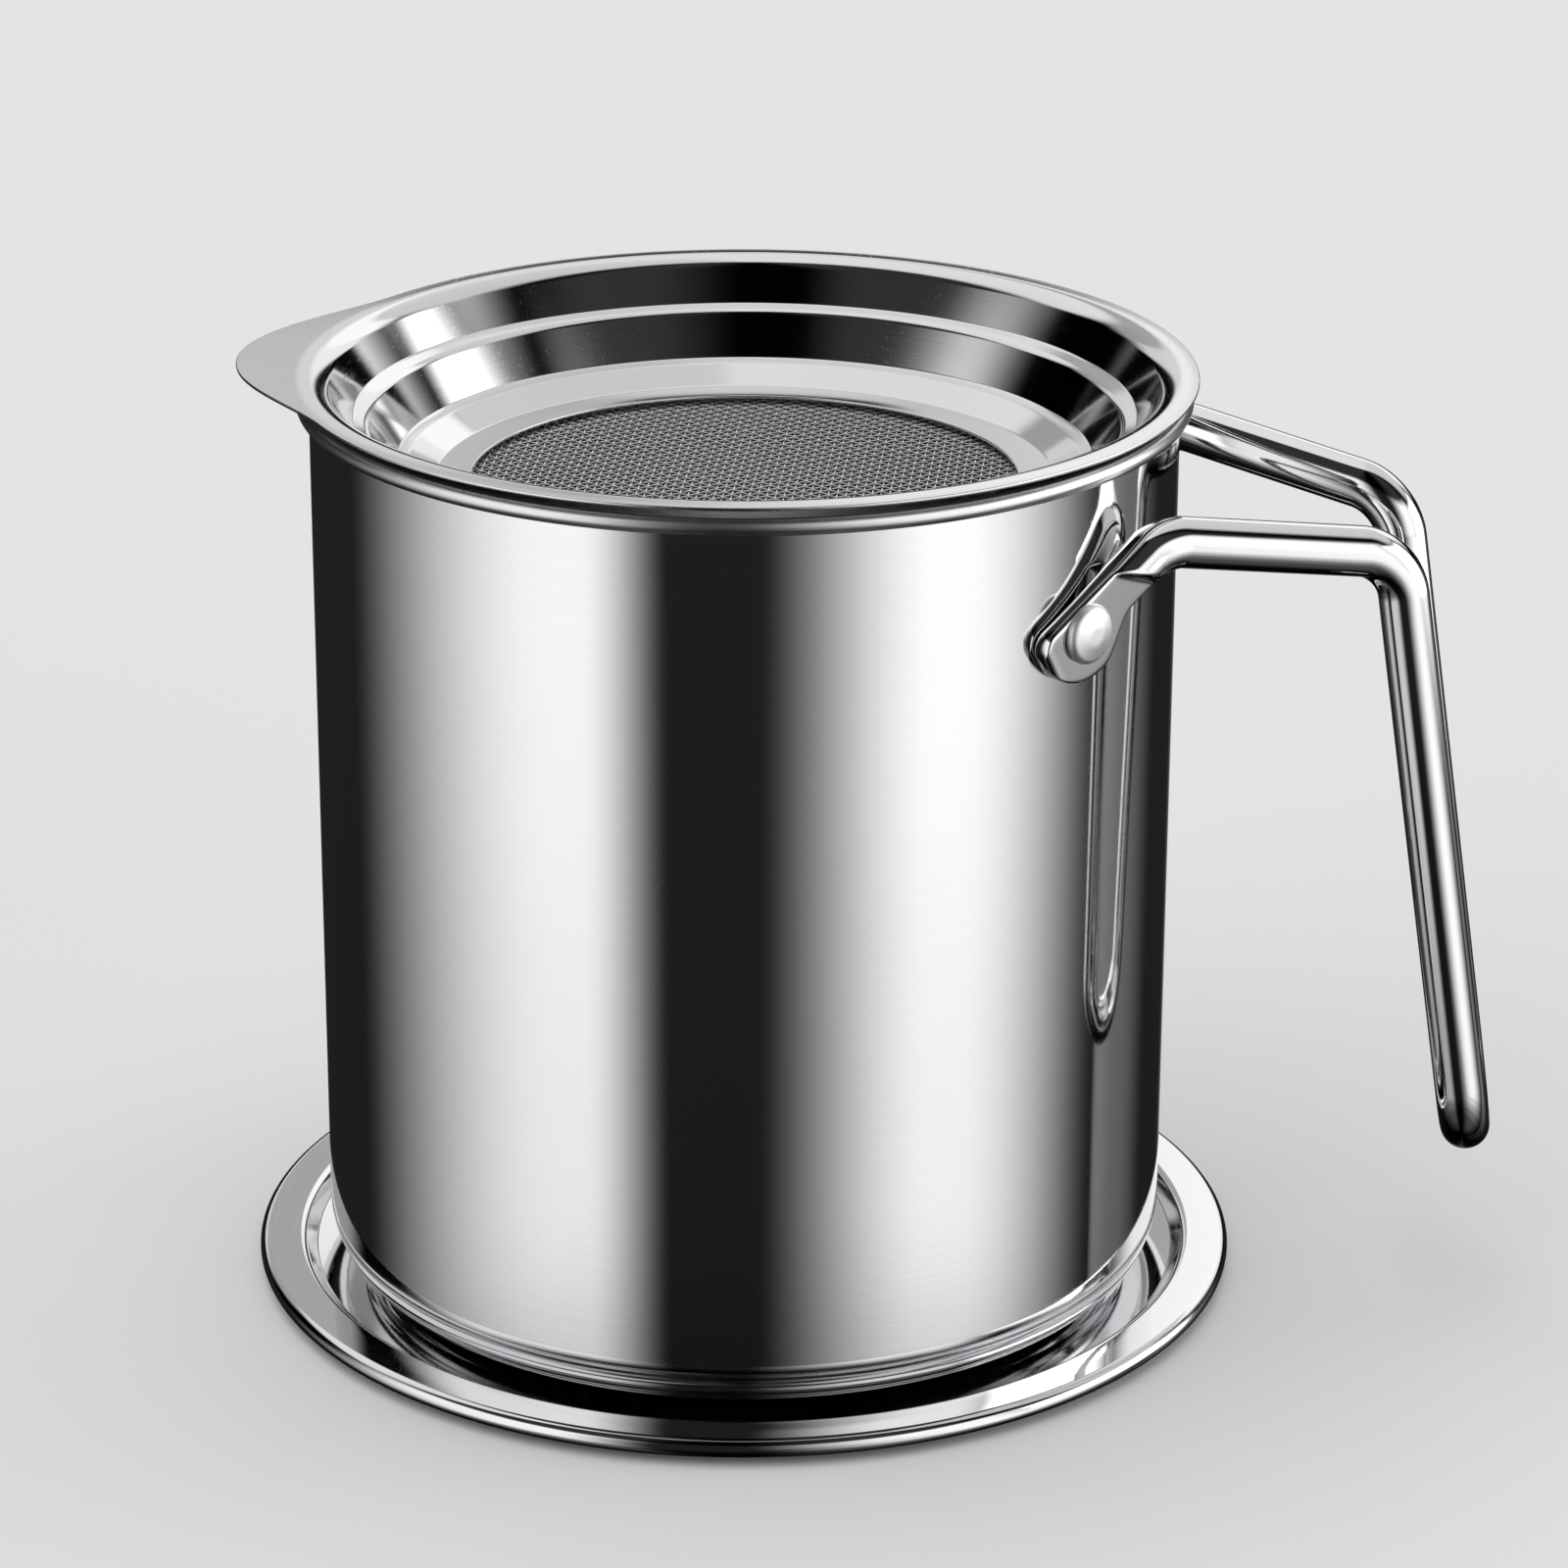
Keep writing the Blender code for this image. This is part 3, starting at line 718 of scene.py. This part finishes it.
axes = sky.nodes.new("ShaderNodeSeparateXYZ")
sky.links.new(sky.nodes.new("ShaderNodeTexCoord").outputs["Generated"], axes.inputs[0])
forward = maths(sky, "MULTIPLY", axes.outputs["Y"], -1)
bearing = maths(sky, "ARCTAN2", axes.outputs["X"], forward)
bearing = maths(sky, "ADD", maths(sky, "DIVIDE", bearing, math.tau), 0.5)
rise = maths(sky, "ARCSINE", axes.outputs["Z"])
rise = maths(sky, "ADD", maths(sky, "DIVIDE", rise, math.pi), 0.5)
light = None
for round_stops, height_stops in TENT_LIGHTS:
    across = light_levels(bearing, round_stops, ROUND)
    upward = light_levels(rise, height_stops, UPWARD)
    panel = maths(sky, "MULTIPLY", across, upward)
    light = maths(sky, "MAXIMUM", light, panel) if light else panel
tent = sky.nodes.new("ShaderNodeBackground")
tent.inputs["Color"].default_value = TENT_COLOUR
sky.links.new(light, tent.inputs["Strength"])
backdrop = sky.nodes.new("ShaderNodeBackground")
backdrop.inputs["Color"].default_value = BACKDROP_COLOUR
seen = sky.nodes.new("ShaderNodeLightPath")
mixed = sky.nodes.new("ShaderNodeMixShader")
sky.links.new(seen.outputs["Is Camera Ray"], mixed.inputs[0])
sky.links.new(tent.outputs[0], mixed.inputs[1])
sky.links.new(backdrop.outputs[0], mixed.inputs[2])
output = sky.nodes.new("ShaderNodeOutputWorld")
sky.links.new(mixed.outputs[0], output.inputs["Surface"])

lamp_data = bpy.data.lights.new("overhead_lamp", "SUN")
lamp_data.energy = LAMP_STRENGTH
lamp_data.angle = LAMP_SPREAD
lamp = bpy.data.objects.new("overhead_lamp", lamp_data)
bpy.context.scene.collection.objects.link(lamp)
lamp.location = LAMP_FROM
lamp.rotation_euler = LAMP_FROM.to_track_quat("Z", "Y").to_euler()
lamp.visible_glossy = False


# Camera
# A long lens a little above the pot, at the viewing angle of the photograph. Its place, turn
# and tilt were fitted to the outlines of the rim, the wall and the tray.

CAMERA_PLACE = Vector((0.07252, -0.71303, 0.34418))
CAMERA_TURN = math.radians(5.361)
CAMERA_TILT = math.radians(20.825)
CAMERA_ROLL = math.radians(0.202)
LENS = 124.25
SENSOR = 36

camera_data = bpy.data.cameras.new("camera")
camera_data.lens = LENS
camera_data.sensor_width = SENSOR
camera = bpy.data.objects.new("camera", camera_data)
bpy.context.scene.collection.objects.link(camera)
camera.location = CAMERA_PLACE
aim = Matrix.Rotation(CAMERA_TURN, 3, "Z") @ Matrix.Rotation(math.pi / 2 - CAMERA_TILT, 3, "X")
camera.rotation_euler = (aim @ Matrix.Rotation(CAMERA_ROLL, 3, "Z")).to_euler()
bpy.context.scene.camera = camera
bpy.context.scene.view_settings.view_transform = "Standard"
